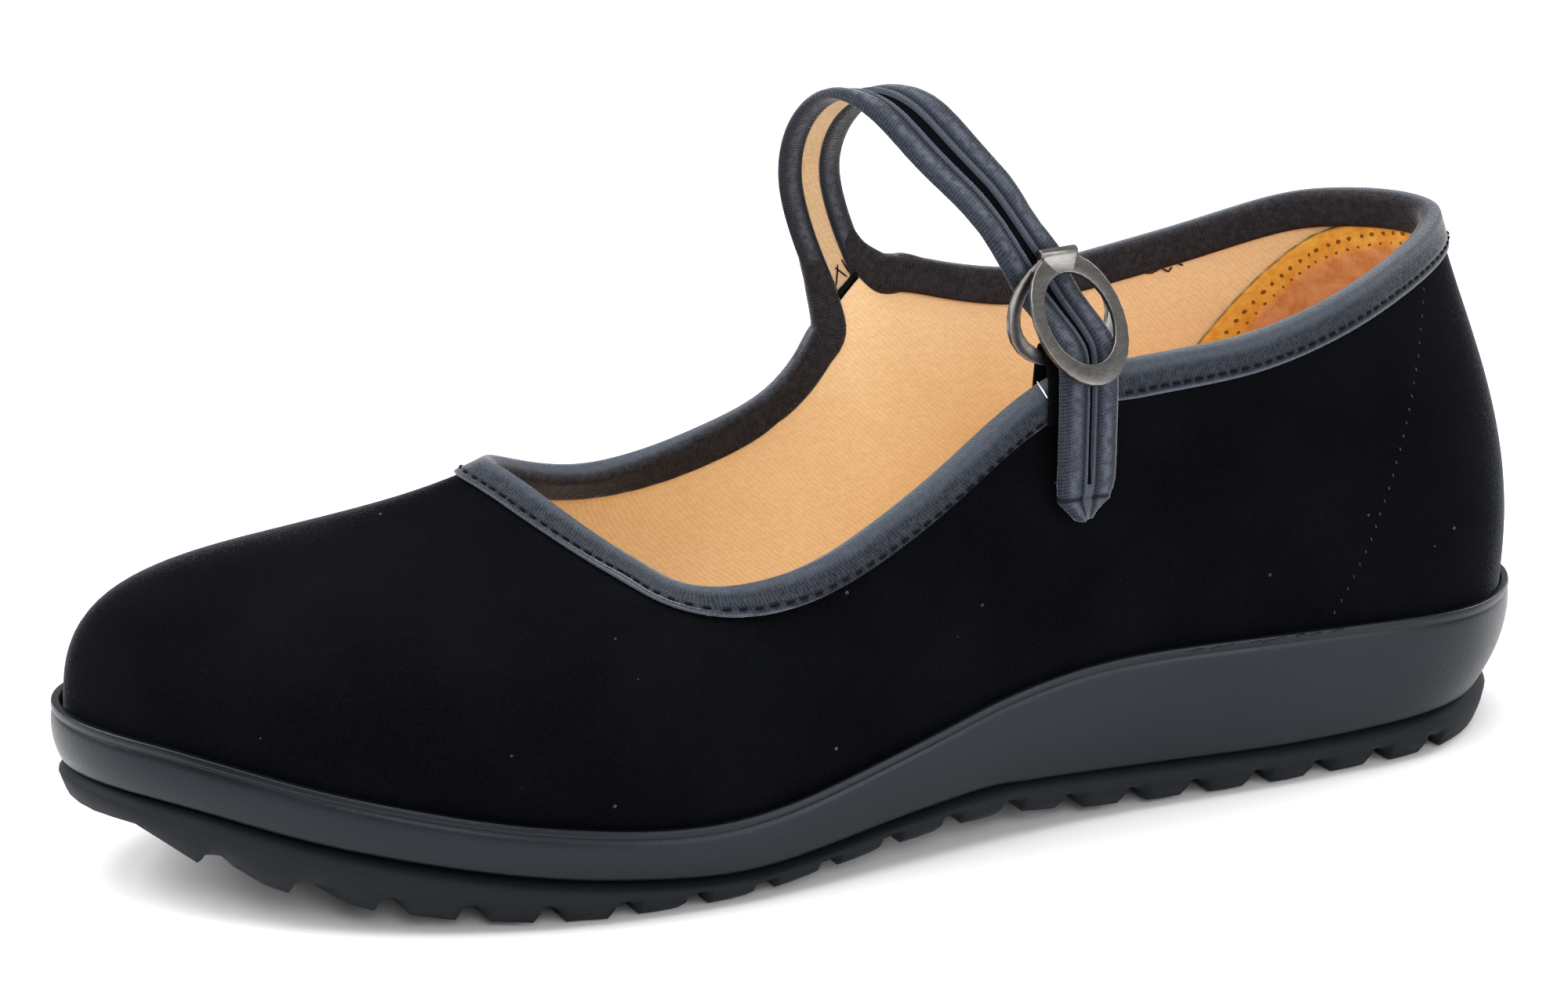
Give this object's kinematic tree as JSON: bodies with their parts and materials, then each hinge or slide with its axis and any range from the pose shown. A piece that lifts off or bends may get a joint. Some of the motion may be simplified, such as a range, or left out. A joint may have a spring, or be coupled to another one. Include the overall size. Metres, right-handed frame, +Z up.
{
  "type": "chinese cloth shoe",
  "caption": "Left cloth shoe with a hollow velvet upper, a bound open topline, a buckled instep strap and a lugged wedge rubber sole.",
  "frame": {"origin": "on the floor, under the middle of the shoe's bounding box", "axes": "+X from the toe to the heel, +Y to the medial side, +Z up"},
  "size_m": [0.2498, 0.0878, 0.1138],
  "materials": {
    "tread_rubber": "matte black moulded rubber",
    "sole_rubber": "satin dark grey moulded rubber",
    "lining_twill": "fine tan twill",
    "black_velvet": "black velvet with a twill lining",
    "binding_tape": "ribbed slate tape",
    "strap_tape": "slate bound strap with a velvet groove",
    "brushed_nickel": "brushed grey nickel"
  },
  "bodies": {
    "root": {"outsole": "tread_rubber", "midsole": "sole_rubber", "insole": "lining_twill", "upper": "black_velvet", "topline_binding": "binding_tape", "strap": "strap_tape", "buckle": "brushed_nickel", "buckle_keeper": "strap_tape"}
  },
  "joints": []
}
